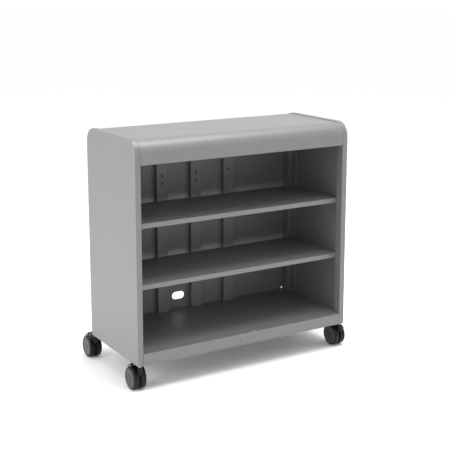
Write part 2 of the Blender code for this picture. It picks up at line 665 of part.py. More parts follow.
def wheel_tread(name, wheel, side):
    """The soft tyre round a hub, with its corners eased."""
    inner = WHEEL_RADIUS - TREAD_THICKNESS
    near = WHEEL_GAP / 2 + GAP
    far = WHEEL_GAP / 2 + WHEEL_WIDTH - HUB_FACE / 2 - GAP
    profile = [
        (near, inner), (near, WHEEL_RADIUS - TREAD_CORNER), (near + TREAD_CORNER, WHEEL_RADIUS),
        (far - TREAD_CORNER, WHEEL_RADIUS), (far, WHEEL_RADIUS - TREAD_CORNER), (far, inner),
    ]
    mesh = turned_mesh([(side * a, r) for a, r in profile], "X", WHEEL_SIDES)
    obj = object_from(name, mesh, material("tread_black", TREAD_BLACK))
    obj.parent = wheel
    shade_round(obj)
    return obj


def brake_pedal(name, hinge):
    """A foot lever on two trunnions; its own origin is on their axis."""
    tip = Vector((0, PEDAL_TIP[0] - PEDAL_PIVOT[0], PEDAL_TIP[1] - PEDAL_PIVOT[1]))
    along = tip.normalized()
    across = Vector((0, -along.z, along.y))

    def lever(half, thickness, start, end):
        offset = across * thickness / 2
        corners = [along * start - offset, along * end - offset, along * end + offset, along * start + offset]
        return prism_mesh([corner + Vector((-half, 0, 0)) for corner in corners], (2 * half, 0, 0))

    knuckle_half = PEDAL_NECK / 2 - GAP
    neck_half = knuckle_half - PEDAL_EASE
    neck_end = PEDAL_NECK_LENGTH + PEDAL_THICKNESS
    knuckle = cylinder_mesh((0, 0, 0), PEDAL_THICKNESS, 2 * knuckle_half, "X", TURNED_SIDES)
    obj = object_from(name, knuckle, material("hood_nylon", NYLON))
    shade_round(obj)
    join(obj, lever(neck_half, PEDAL_THICKNESS - 2 * PEDAL_EASE, PEDAL_EASE, neck_end), "neck")
    join(obj, lever(PEDAL_WIDTH / 2, PEDAL_THICKNESS, PEDAL_NECK_LENGTH, tip.length), "pad")
    trunnions = cylinder_mesh((0, 0, 0), PEDAL_TRUNNION_RADIUS, 2 * PEDAL_TRUNNION_REACH, "X", PIN_SIDES)
    shade_round(join(obj, trunnions, "trunnions"))
    obj.parent = hinge
    return obj


def caster(corner, side, end):
    """One caster. It trails to the rear at rest. side is -1 left, 1 right; end is -1 front, 1 rear."""
    place = Vector((side * (RIGHT_X - STEM_INSET_X), edge_of_case(end) - end * STEM_INSET_Y, 0))
    stem_socket(f"{corner}_stem_socket", place)
    caster_stem(f"{corner}_stem", place)
    swivel = pivot(f"{corner}_swivel_axis", place)
    hood(f"{corner}_hood", swivel)
    axle(f"{corner}_axle", swivel)
    for label, hand in (("left", -1), ("right", 1)):
        wheel = pivot(f"{corner}_{label}_wheel_axis", (0, CASTER_TRAIL, WHEEL_RADIUS), swivel)
        wheel_hub(f"{corner}_{label}_hub", wheel, hand)
        wheel_tread(f"{corner}_{label}_tread", wheel, hand)
    pedal_place = (0, CASTER_TRAIL + PEDAL_PIVOT[0], WHEEL_RADIUS + PEDAL_PIVOT[1])
    brake_pedal(f"{corner}_brake_pedal", pivot(f"{corner}_pedal_axis", pedal_place, swivel))


def main():
    clear_scene()
    corners = [
        (f"{end_name}_{side_name}", side, end)
        for end_name, end in (("front", -1), ("rear", 1))
        for side_name, side in (("left", -1), ("right", 1))
    ]
    side_panel("left_side_panel", -1)
    side_panel("right_side_panel", 1)
    top_panel()
    deck()
    back_panel()
    back_column("left_back_column", -COLUMN_SPACING)
    back_column("middle_back_column", 0)
    back_column("right_back_column", COLUMN_SPACING)
    for corner, side, end in corners:
        slotted_post(f"{corner}_post", side, end)
        caster(corner, side, end)
    for name, top in SHELF_TOPS.items():
        shelf(name, top)
        for corner, side, end in corners:
            shelf_clip(f"{name}_{corner}_clip", side, end, top)


main()
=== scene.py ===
import json
import math

import bmesh
import bpy
from mathutils import Matrix, Vector


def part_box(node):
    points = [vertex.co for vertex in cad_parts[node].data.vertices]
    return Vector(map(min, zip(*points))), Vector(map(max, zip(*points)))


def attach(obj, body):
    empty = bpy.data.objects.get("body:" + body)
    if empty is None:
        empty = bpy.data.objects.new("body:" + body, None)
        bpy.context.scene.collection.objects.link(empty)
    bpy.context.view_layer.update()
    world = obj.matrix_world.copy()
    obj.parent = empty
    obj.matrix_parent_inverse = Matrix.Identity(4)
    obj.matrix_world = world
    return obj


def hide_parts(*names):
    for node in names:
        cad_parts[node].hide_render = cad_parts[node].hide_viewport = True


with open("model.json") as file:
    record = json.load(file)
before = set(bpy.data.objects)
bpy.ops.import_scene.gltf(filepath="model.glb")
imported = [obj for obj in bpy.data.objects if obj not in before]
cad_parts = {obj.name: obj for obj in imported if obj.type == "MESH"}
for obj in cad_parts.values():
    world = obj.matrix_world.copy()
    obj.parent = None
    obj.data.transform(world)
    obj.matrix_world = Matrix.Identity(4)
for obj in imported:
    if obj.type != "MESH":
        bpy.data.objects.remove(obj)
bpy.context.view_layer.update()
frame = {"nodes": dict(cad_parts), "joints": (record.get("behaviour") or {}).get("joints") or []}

bl_info = {
    "name": "Book Cart",
    "version": (1, 0, 0),
    "blender": (4, 5, 0),
    "location": "View3D > Sidebar > Book Cart",
    "description": "Sheet-steel book cart with slotted posts and twin-wheel casters, built on its CAD frame",
    "category": "Object",
}

CORNERS = [
    (f"{end_name}_{side_name}", side, end)
    for end_name, end in (("front", -1), ("rear", 1))
    for side_name, side in (("left", -1), ("right", 1))
]
CASE = "case"
PATTERN_DETAIL = 3.0  # octaves of noise in a slow drift of colour
GAP = 0.0003  # between pieces that touch
CORNER_STEPS = 20  # segments in a quarter turn of the case's big rounds
FOLD_STEPS = 4  # segments in a sheet's fold
FOLD_ANGLE = 0.9  # radians: a sheet's edge that turns more than this is a fold
SAME_PLACE = 1e-6  # metres within which two points are one
CUT_LENGTH = 0.012  # length of the cutters that open round holes in a sheet
WHEEL_STEPS = 72  # segments round a wheel
HOOD_START = math.radians(50)  # where the hood's arc starts, turned from straight up about the axle
HOOD_SWEEP = math.radians(-78)  # how far the hood's arc turns from there


def place(node):
    """(lowest, highest) corner of a CAD node."""
    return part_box(node)


# ---------------------------------------------------------------- sizes and colours


def length(name, text, default):
    return bpy.props.FloatProperty(name=name, description=text, default=default, min=0.0, unit="LENGTH")


def linear(hex_value):
    """An sRGB hex value as linear RGBA."""
    parts = [int(hex_value[i : i + 2], 16) / 255 for i in (1, 3, 5)]
    return (*[c / 12.92 if c <= 0.04045 else ((c + 0.055) / 1.055) ** 2.4 for c in parts], 1)


def colour(name, text, hex_value):
    return bpy.props.FloatVectorProperty(
        name=name, description=text, default=linear(hex_value), size=4, subtype="COLOR", min=0.0, max=1.0
    )


class CaseSizes(bpy.types.PropertyGroup):
    gauge: length("Sheet gauge", "Thickness of the folded case sheets", 0.0012)
    bend: length("Bend radius", "Outer radius of a folded edge", 0.0022)
    corner: length("Corner radius", "Radius of the case's top corners", 0.064)
    lip: length("Side lip", "Width of the lip turned in from the side panels' edges", 0.020)
    rim_step: length("Rim step", "How far the top sheet lies below the side panels' rims", 0.004)
    hem: length("Fascia hem", "Depth of the fold at the foot of the fascia", 0.018)
    hem_up: length("Hem return", "Height of the hem's upturned edge", 0.010)
    fascia_foot: length("Fascia foot radius", "Radius of the soft fold at the fascia's foot", 0.010)
    lap: length("Lap", "How far the back sheet's joggled top edge laps behind the top sheet", 0.012)
    flange: length("Back flange", "Depth of the flanges at the back sheet's sides", 0.008)
    pan_lip: length("Pan lip", "Width of the lips under the deck", 0.020)
    post_room: length("Post room", "Depth of the deck's notches, which the posts stand in", 0.0423)
    shelf_lip: length("Shelf lip", "Width of the lips under the shelves", 0.015)
    column_flange: length("Column flange", "Width of the columns' welded flanges", 0.012)
    rail_hole: length("Rail hole radius", "Radius of the two holes in the front rail", 0.004)
    rail_hole_spacing: length("Rail hole spacing", "Distance between the two rail holes", 0.068)
    rail_hole_level: length("Rail hole level", "Height of the rail holes above the case's underside", 0.025)
    catch_offset: length("Catch slot offset", "How far right of the middle the deck's slot lies", 0.039)
    catch_width: length("Catch slot width", "Width of the slot in the deck", 0.027)
    catch_setback: length("Catch slot setback", "How far behind the rail's face the slot starts", 0.003)
    catch_depth: length("Catch slot depth", "Size of the slot from front to rear", 0.009)
    cable_radius: length("Cable hole radius", "Radius of the cable hole's round ends", 0.0175)
    cable_straight: length("Cable hole straight", "Half the length of the hole's straight sides", 0.0135)
    cable_level: length("Cable hole level", "Height of the cable hole above the back's foot", 0.110)
    vent_hole: length("Vent hole radius", "Radius of the small holes at the back's side edges", 0.003)
    vent_inset: length("Vent hole inset", "How far the vent holes lie from the back's side edges", 0.004)
    vent_level: length("Vent hole level", "Height of the vent holes above the back's foot", 0.057)
    hanging_hole: length("Hanging hole radius", "Radius of the holes in the back columns", 0.0048)
    hanging_level: length("Hanging hole level", "Height of the lower holes above the back's foot", 0.646)
    hanging_spacing: length("Hanging hole spacing", "From the lower to the upper hanging hole", 0.033)


class PostSizes(bpy.types.PropertyGroup):
    gauge: length("Post gauge", "Thickness of the posts' sheet", 0.0015)
    bend: length("Post bend radius", "Outer radius of the posts' folds", 0.0020)
    standoff: length("Standoff", "Gap from the slotted face's back to the panel's outer face", 0.0035)
    wing: length("Wing width", "Width of the slotted face along the side panel", 0.034)
    slot_pitch: length("Slot pitch", "Distance from one slot to the next", 0.0127)
    slot_width: length("Slot width", "Width of a slot", 0.0035)
    slot_height: length("Slot height", "Height of a slot", 0.0080)
    end_margin: length("End margin", "Plain length at each end of a post", 0.012)
    clip_middle: length("Clip middle", "From the top of a shelf clip to its middle", 0.013)


class CasterSizes(bpy.types.PropertyGroup):
    tread: length("Tread thickness", "Thickness of the soft tyre", 0.0057)
    tread_round: length("Tread rounding", "Radius of the tyre's shoulders", 0.0045)
    rim_width: length("Rim ring width", "Width of the raised ring round the wheel's face", 0.0045)
    dish: length("Face dish", "How far the wheel's face is sunk inside its ring", 0.0014)
    cap: length("Cap radius", "Radius of the cap at the wheel's centre", 0.0095)
    guard: length("Guard thickness", "Thickness of the hood over the wheels", 0.0020)
    guard_gap: length("Guard clearance", "Gap between the wheels and the hood", 0.0012)
    web: length("Web thickness", "Thickness of the web between the wheels", 0.006)
    web_reach: length("Web radius", "Radius of the web's round part about the axle", 0.034)
    boss: length("Boss radius", "Radius of the hood's swivel boss", 0.011)
    boss_bore: length("Boss bore radius", "Radius of the bore for the stem's pin", 0.0053)
    boss_foot: length("Boss foot", "How far above the wheels' tops the boss starts", 0.0235)
    ear: length("Ear radius", "Radius of the ears that hold the pedal's pins", 0.005)
    ear_width: length("Ear width", "Thickness of one ear", 0.0035)
    pin: length("Stem pin radius", "Radius of the stem's pin in the boss", 0.005)
    collar: length("Stem collar radius", "Radius of the stem between the boss and the case", 0.0068)
    stem_flange: length("Stem flange radius", "Radius of the stem's flange under the case", 0.008)
    stem_shank: length("Stem shank radius", "Radius of the stem inside its socket", 0.0055)
    pedal: length("Pedal thickness", "Thickness of the brake pedal's pad", 0.004)
    neck: length("Pedal neck width", "Width of the pedal's neck between its ears", 0.012)
    neck_reach: length("Pedal neck length", "From the pedal's hinge to its pad", 0.0075)
    pedal_pin: length("Pedal pin radius", "Radius of the pins that the pedal turns on", 0.002)
    pedal_pins_span: length("Pedal pins' span", "From the end of one pedal pin to the other's", 0.019)
    rib_spacing: length("Rib spacing", "Distance between the grip ribs on a pedal", 0.0028)


class Colours(bpy.types.PropertyGroup):
    paint: colour("Paint", "Powder coat on every steel sheet", "#6F6F72")
    zinc: colour("Zinc plate", "Plated stems, axles and clips", "#BDBEBC")
    nylon: colour("Hood nylon", "Caster hoods and pedals", "#070707")
    wheel_face: colour("Wheel face", "Moulded wheel centres", "#343435")
    tread: colour("Tread", "Soft tyres", "#0E0E0E")
    floor: colour("Floor", "Floor under the cart", "#FBFBFB")


# ---------------------------------------------------------------- materials


def scaled(rgba, factor):
    return (*[min(1, c * factor) for c in rgba[:3]], 1)


def add_node(tree, kind, inputs, feeds=None, **settings):
    """A node with its settings; an input takes a value or an output, and feeds link its outputs on."""
    made = tree.nodes.new(kind)
    for key, value in settings.items():
        setattr(made, key, value)
    for key, value in inputs.items():
        if isinstance(value, bpy.types.NodeSocket):
            tree.links.new(value, made.inputs[key])
        else:
            made.inputs[key].default_value = value
    for key, socket in (feeds or {}).items():
        tree.links.new(made.outputs[key], socket)
    return made


def new_material(name):
    """(material, tree, shader's inputs, object coordinates) to start a procedural material from."""
    made = bpy.data.materials.new(name)
    made.use_nodes = True
    tree = made.node_tree
    shader = tree.nodes["Principled BSDF"]
    return made, tree, shader.inputs, add_node(tree, "ShaderNodeTexCoord", {}).outputs["Object"]


def tint(tree, where, base, size, low, high, socket):
    """Feeds a socket a colour that drifts between base * low and base * high, in patches of that size."""
    spread = {"Vector": where, "Scale": 1 / size, "Detail": PATTERN_DETAIL}
    drift = add_node(tree, "ShaderNodeTexNoise", spread)
    ends = {"Factor": drift.outputs["Fac"], "A": scaled(base, low), "B": scaled(base, high)}
    return add_node(tree, "ShaderNodeMix", ends, {"Result": socket} if socket else None, data_type="RGBA")


def powder_coat(colours):
    """Polyester powder coat on steel: satin, with fine orange peel and a slightly uneven tone."""
    made, tree, shader, where = new_material("powder_coated_steel")
    tone = tint(tree, where, colours.paint, 0.16, 0.97, 1.03, None)
    # The grain of the cured powder, about 1 mm, gives a very fine speckle.
    speckle = add_node(tree, "ShaderNodeTexNoise", {"Vector": where, "Scale": 900.0, "Detail": 2.0})
    grain = add_node(
        tree, "ShaderNodeMapRange", {"Value": speckle.outputs["Fac"], "To Min": 0.94, "To Max": 1.06}
    )
    add_node(
        tree, "ShaderNodeVectorMath", {0: tone.outputs["Result"], "Scale": grain.outputs["Result"]},
        {"Vector": shader["Base Color"]}, operation="SCALE",
    )
    # Orange peel: dimples about 2 mm across and a few microns deep, drawn deeper so that they show.
    peel = add_node(tree, "ShaderNodeTexNoise", {"Vector": where, "Scale": 480.0, "Detail": 1.5})
    add_node(
        tree, "ShaderNodeBump", {"Height": peel.outputs["Fac"], "Distance": 0.00010, "Strength": 0.55},
        {"Normal": shader["Normal"]},
    )
    # Broad smears where the coat cured a little glossier or duller.
    smear = add_node(tree, "ShaderNodeTexNoise", {"Vector": where, "Scale": 9.0, "Detail": 4.0})
    add_node(
        tree, "ShaderNodeMapRange", {"Value": smear.outputs["Fac"], "To Min": 0.40, "To Max": 0.50},
        {"Result": shader["Roughness"]},
    )
    shader["IOR"].default_value = 1.5
    # Fine metal flake in the coat makes its highlights a little stronger than a plain gloss does.
    shader["Specular IOR Level"].default_value = 0.8
    return made


def zinc_plate(colours):
    """Bright zinc plate on turned and stamped steel: clear metal with faint turning lines."""
    made, tree, shader, where = new_material("zinc_plated_steel")
    tint(tree, where, colours.zinc, 0.006, 0.9, 1.05, shader["Base Color"])
    shader["Metallic"].default_value = 1.0
    # Turning lines about a third of a millimetre apart, coarser than real ones so that they show.
    lines = add_node(
        tree, "ShaderNodeTexWave", {"Vector": where, "Scale": 900.0, "Distortion": 0.6},
        wave_type="BANDS", bands_direction="Z",
    )
    add_node(
        tree, "ShaderNodeBump", {"Height": lines.outputs["Fac"], "Distance": 0.00002, "Strength": 0.3},
        {"Normal": shader["Normal"]},
    )
    # The plate's cloudy bloom dulls it in patches a few millimetres wide.
    cloud = add_node(tree, "ShaderNodeTexNoise", {"Vector": where, "Scale": 160.0, "Detail": 3.0})
    add_node(
        tree, "ShaderNodeMapRange", {"Value": cloud.outputs["Fac"], "To Min": 0.24, "To Max": 0.38},
        {"Result": shader["Roughness"]},
    )
    return made


def moulded(name, base, grain, roughness):
    """An injection-moulded plastic: an even tone, a fine spark-eroded grain and a soft sheen."""
    made, tree, shader, where = new_material(name)
    tint(tree, where, base, 0.012, 0.93, 1.07, shader["Base Color"])
    size, depth = grain
    pits = add_node(tree, "ShaderNodeTexNoise", {"Vector": where, "Scale": 1 / size, "Detail": 2.0})
    add_node(
        tree, "ShaderNodeBump", {"Height": pits.outputs["Fac"], "Distance": depth, "Strength": 0.5},
        {"Normal": shader["Normal"]},
    )
    # Scuffs a few millimetres wide, where handling has polished or dulled the grain.
    scuff = add_node(tree, "ShaderNodeTexNoise", {"Vector": where, "Scale": 120.0, "Detail": 4.0})
    smooth, rough = roughness
    add_node(
        tree, "ShaderNodeMapRange", {"Value": scuff.outputs["Fac"], "To Min": smooth, "To Max": rough},
        {"Result": shader["Roughness"]},
    )
    return made, shader


def hood_nylon(colours):
    """Glass-filled nylon 6: near black, with a fine moulded grain that keeps its sheen low."""
    made, shader = moulded("moulded_black_nylon", colours.nylon, (0.0007, 0.00005), (0.34, 0.46))
    shader["IOR"].default_value = 1.53
    shader["Specular IOR Level"].default_value = 0.22
    return made


def wheel_polypropylene(colours):
    """Grey moulded polypropylene wheel centre, with a waxy sheen."""
    made, shader = moulded("moulded_grey_polypropylene", colours.wheel_face, (0.0009, 0.00004), (0.34, 0.46))
    shader["IOR"].default_value = 1.49
    return made


def tread_rubber(colours):
    """Thermoplastic rubber tyre: black and matt, with a grain that swallows most of its sheen."""
    made, shader = moulded("thermoplastic_rubber", colours.tread, (0.0012, 0.00008), (0.45, 0.62))
    shader["IOR"].default_value = 1.52
    shader["Specular IOR Level"].default_value = 0.25
    return made


def floor_vinyl(colours):
    """Plain pale studio vinyl, matt, with a barely uneven tone over a metre or two."""
    made, tree, shader, where = new_material("pale_studio_vinyl")
    tint(tree, where, colours.floor, 1.5, 0.985, 1.0, shader["Base Color"])
    shader["Roughness"].default_value = 0.9
    shader["Specular IOR Level"].default_value = 0.1
    return made


def finish_of(name, make):
    """The material of that name, made on first use from the colours of this scene."""
    return bpy.data.materials.get(name) or make(bpy.context.scene.book_cart_colours)


def paint():
    return finish_of("powder_coated_steel", powder_coat)


def zinc():
    return finish_of("zinc_plated_steel", zinc_plate)


def nylon():
    return finish_of("moulded_black_nylon", hood_nylon)


# ---------------------------------------------------------------- modelling helpers


def piece_from(name, bm, material):
    """A mesh object at the origin, made from bm, linked and given its material."""
    mesh = bpy.data.meshes.new(name)
    bm.to_mesh(mesh)
    bm.free()
    mesh.materials.append(material)
    piece = bpy.data.objects.new(name, mesh)
    bpy.context.scene.collection.objects.link(piece)
    return piece


def settle(piece):
    """Replaces the piece's mesh with what its modifiers make of it."""
    graph = bpy.context.evaluated_depsgraph_get()
    made = bpy.data.meshes.new_from_object(piece.evaluated_get(graph))
    old = piece.data
    piece.modifiers.clear()
    piece.data = made
    made.name = piece.name
    bpy.data.meshes.remove(old)


def shade(piece, degrees=40):
    """Smooth shading with sharp edges kept, and flat faces that stay flat beside their bends."""
    piece.data.shade_smooth()
    piece.data.set_sharp_from_angle(angle=math.radians(degrees))
    normals = piece.modifiers.new("face_weighted_normals", "WEIGHTED_NORMAL")
    normals.keep_sharp = True


def hand_over(piece, body, replaced=()):
    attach(piece, body)
    if replaced:
        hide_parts(*replaced)


def thicken(piece, gauge):
    """Grows the sheet inwards, away from the side its faces point to."""
    wall = piece.modifiers.new("gauge", "SOLIDIFY")
    wall.thickness = gauge
    wall.offset = -1
    wall.use_even_offset = True
    settle(piece)


def carve(piece, cutters):
    """Takes closed shapes out of the piece for good."""
    helpers = []
    for index, bm in enumerate(cutters):
        helper = piece_from(f"{piece.name}_cutter_{index}", bm, piece.data.materials[0])
        boolean = piece.modifiers.new(f"cut_{index}", "BOOLEAN")
        boolean.operation = "DIFFERENCE"
        boolean.object = helper
        helpers.append(helper)
    bpy.context.view_layer.update()
    settle(piece)
    for helper in helpers:
        mesh = helper.data
        bpy.data.objects.remove(helper)
        bpy.data.meshes.remove(mesh)


def strip(points, travel):
    """Draws an open path of points out along travel, into one bent sheet."""
    bm = bmesh.new()
    corners = [bm.verts.new(point) for point in points]
    edges = [bm.edges.new(pair) for pair in zip(corners, corners[1:])]
    moved = bmesh.ops.extrude_edge_only(bm, edges=edges)["geom"]
    ends = [item for item in moved if isinstance(item, bmesh.types.BMVert)]
    bmesh.ops.translate(bm, verts=ends, vec=travel)
    return bm


def edges_through(bm, point, axis):
    """The edges that run along an axis (0, 1 or 2) through a point."""
    others = [i for i in range(3) if i != axis]
    return [
        edge
        for edge in bm.edges
        if all(abs(vert.co[i] - point[i]) < SAME_PLACE for vert in edge.verts for i in others)
        and abs(edge.verts[0].co[axis] - edge.verts[1].co[axis]) > SAME_PLACE
    ]


def folds_of(bm):
    """The edges at which an open sheet turns a corner."""
    inner = [edge for edge in bm.edges if len(edge.link_faces) == 2]
    return [edge for edge in inner if edge.calc_face_angle() > FOLD_ANGLE]


def round_edges(bm, edges, radius, segments):
    bmesh.ops.bevel(
        bm, geom=edges, offset=radius, segments=segments, profile=0.5, affect="EDGES", material=-1,
        clamp_overlap=True,
    )


def face_towards(bm, outside):
    """Turns an open sheet so that the face nearest to a place outside it points there."""
    bmesh.ops.recalc_face_normals(bm, faces=bm.faces)
    nearest = min(bm.faces, key=lambda face: (face.calc_center_median() - outside).length)
    if nearest.normal.dot(outside - nearest.calc_center_median()) < 0:
        bmesh.ops.reverse_faces(bm, faces=bm.faces)


def block(low, high, rounding=0.0, segments=2):
    """A box between two corners, with its edges rounded."""
    bm = bmesh.new()
    low, high = Vector(low), Vector(high)
    size = Matrix.Diagonal((*(high - low), 1))
    bmesh.ops.create_cube(bm, size=1, matrix=Matrix.Translation((low + high) / 2) @ size)
    if rounding:
        round_edges(bm, bm.edges[:], rounding, segments)
    return bm


def rod(centre, radius, reach, axis, segments=32):
    """A closed cylinder about centre, lying along an axis."""
    turn = {"X": Matrix.Rotation(math.pi / 2, 4, "Y"), "Y": Matrix.Rotation(math.pi / 2, 4, "X")}
    bm = bmesh.new()
    bmesh.ops.create_cone(
        bm, cap_ends=True, segments=segments, radius1=radius, radius2=radius, depth=reach,
        matrix=Matrix.Translation(centre) @ turn.get(axis, Matrix.Identity(4)),
    )
    return bm


def turned(profile, centre, axis, steps, sweep=math.tau, start=0.0):
    """Spins a closed loop of (along, radius) points about an axis through centre."""
    bm = bmesh.new()
    along = Vector((1, 0, 0)) if axis == "X" else Vector((0, 0, 1))
    out = Vector((0, 0, 1)) if axis == "X" else Vector((1, 0, 0))
    turn = Matrix.Rotation(start, 3, along)
    corners = [bm.verts.new(centre + along * a + turn @ (out * r)) for a, r in profile]
    whole = sweep == math.tau
    if whole:
        geom = [bm.edges.new(pair) for pair in zip(corners, corners[1:] + corners[:1])]
    else:
        geom = [bm.faces.new(corners)]
    bmesh.ops.spin(
        bm, geom=geom + corners, cent=centre, axis=along, angle=sweep, steps=steps, use_merge=whole,
    )
    bmesh.ops.remove_doubles(bm, verts=bm.verts, dist=SAME_PLACE)
    bmesh.ops.recalc_face_normals(bm, faces=bm.faces)
    return bm


def merged(parts):
    """One bmesh that holds several closed shells."""
    whole = bmesh.new()
    for bm in parts:
        mesh = bpy.data.meshes.new("part")
        bm.to_mesh(mesh)
        bm.free()
        whole.from_mesh(mesh)
        bpy.data.meshes.remove(mesh)
    return whole


# ---------------------------------------------------------------- operators: case


class SidePanels(bpy.types.Operator):
    """Build the two side panels: rounded trays with a broad edge and a lip"""

    bl_idname = "book_cart.side_panels"
    bl_label = "Side Panels"

    def execute(self, context):
        sizes = context.scene.book_cart_case
        for name, side in (("left", -1), ("right", 1)):
            node = f"{name}_side_panel"
            low, high = place(node)
            outer = high.x if side > 0 else low.x
            bm = bmesh.new()
            outline = [(low.y, low.z), (high.y, low.z), (high.y, high.z), (low.y, high.z)]
            corners = [bm.verts.new((outer, y, z)) for y, z in outline]
            bm.faces.new(corners)
            bmesh.ops.bevel(
                bm, geom=corners[2:], offset=sizes.corner, segments=CORNER_STEPS, profile=0.5,
                affect="VERTICES", material=-1,
            )
            moved = bmesh.ops.extrude_face_region(bm, geom=bm.faces[:])["geom"]
            inner_face = [item for item in moved if isinstance(item, bmesh.types.BMFace)]
            verts = [item for item in moved if isinstance(item, bmesh.types.BMVert)]
            bmesh.ops.translate(bm, verts=verts, vec=(-side * (high.x - low.x), 0, 0))
            bmesh.ops.inset_region(bm, faces=inner_face, thickness=sizes.lip, use_even_offset=True)
            bmesh.ops.delete(bm, geom=inner_face, context="FACES")
            bmesh.ops.recalc_face_normals(bm, faces=bm.faces)
            round_edges(bm, folds_of(bm), sizes.bend, FOLD_STEPS)
            face_towards(bm, Vector((outer + side, 0, high.z / 2)))
            tray = piece_from(f"{name}_side_tray", bm, paint())
            thicken(tray, sizes.gauge)
            shade(tray)
            hand_over(tray, CASE, [node])
        return {"FINISHED"}


class TopSheet(bpy.types.Operator):
    """Build the top sheet with its rounds, fascia and hem"""

    bl_idname = "book_cart.top_sheet"
    bl_label = "Top Sheet"

    def execute(self, context):
        sizes = context.scene.book_cart_case
        low, high = place("top_panel")
        rear_foot = place("back_panel")[1].z + 0.002  # a 2 mm seam above the back sheet
        path = [
            (high.y, rear_foot), (high.y, high.z), (low.y, high.z), (low.y, low.z),
            (low.y + sizes.hem, low.z), (low.y + sizes.hem, low.z + sizes.hem_up),
        ]
        bm = strip([(low.x, y, z) for y, z in path], (high.x - low.x, 0, 0))
        face_towards(bm, Vector((0, high.y + 1, high.z)))
        for index in (1, 2):
            y, z = path[index]
            round_edges(bm, edges_through(bm, (0, y, z), 0), sizes.corner - sizes.rim_step, CORNER_STEPS)
        for index, radius, segments in ((3, sizes.fascia_foot, 10), (4, sizes.bend, FOLD_STEPS)):
            y, z = path[index]
            round_edges(bm, edges_through(bm, (0, y, z), 0), radius, segments)
        sheet = piece_from("top_sheet", bm, paint())
        thicken(sheet, sizes.gauge)
        shade(sheet)
        hand_over(sheet, CASE, ["top_panel"])
        return {"FINISHED"}


class Deck(bpy.types.Operator):
    """Build the deck with its front rail, holes and catch slot"""

    bl_idname = "book_cart.deck"
    bl_label = "Deck"

    def execute(self, context):
        sizes = context.scene.book_cart_case
        low, high = place("deck")
        notch_x = place("top_panel")[1].x
        wing_front = low.y + sizes.post_room
        wing_rear = place("back_panel")[1].y - sizes.post_room
        wing_foot = low.z + sizes.lip + GAP
        side = [(notch_x, low.y), (notch_x, wing_front), (notch_x, wing_rear), (notch_x, high.y)]
        wing = side[:2] + [(high.x, wing_front), (high.x, wing_rear)] + side[2:]
        bm = bmesh.new()
        for half, level in ((wing, high.z), (side, low.z)):
            outline = half + [(-x, y) for x, y in reversed(half)]
            sheet = bm.faces.new([bm.verts.new((x, y, level)) for x, y in outline])
            skirt = bmesh.ops.extrude_edge_only(bm, edges=sheet.edges[:])["geom"]
            ends = [item for item in skirt if isinstance(item, bmesh.types.BMVert)]
            bmesh.ops.translate(bm, verts=ends, vec=(0, 0, wing_foot - level))
        bmesh.ops.inset_region(bm, faces=[sheet], thickness=sizes.pan_lip, use_even_offset=True)
        bmesh.ops.delete(bm, geom=[sheet], context="FACES")
        bmesh.ops.remove_doubles(bm, verts=bm.verts, dist=SAME_PLACE)
        face_towards(bm, Vector((0, 0, high.z + 1)))
        level_folds = [
            edge for edge in folds_of(bm)
            if abs(edge.verts[0].co.z - edge.verts[1].co.z) < SAME_PLACE
        ]
        round_edges(bm, level_folds, sizes.bend, FOLD_STEPS)
        pan = piece_from("deck_pan", bm, paint())
        thicken(pan, sizes.gauge)
        level = low.z + sizes.rail_hole_level
        half = sizes.rail_hole_spacing / 2
        cutters = [rod((x, low.y, level), sizes.rail_hole, CUT_LENGTH, "Y") for x in (-half, half)]
        slot_left = sizes.catch_offset - sizes.catch_width / 2
        slot_front = low.y + sizes.catch_setback
        slot_low = (slot_left, slot_front, high.z - CUT_LENGTH / 3)
        slot_high = (slot_left + sizes.catch_width, slot_front + sizes.catch_depth, high.z + CUT_LENGTH / 3)
        cutters.append(block(slot_low, slot_high))
        carve(pan, cutters)
        shade(pan)
        hand_over(pan, CASE, ["deck"])
        return {"FINISHED"}


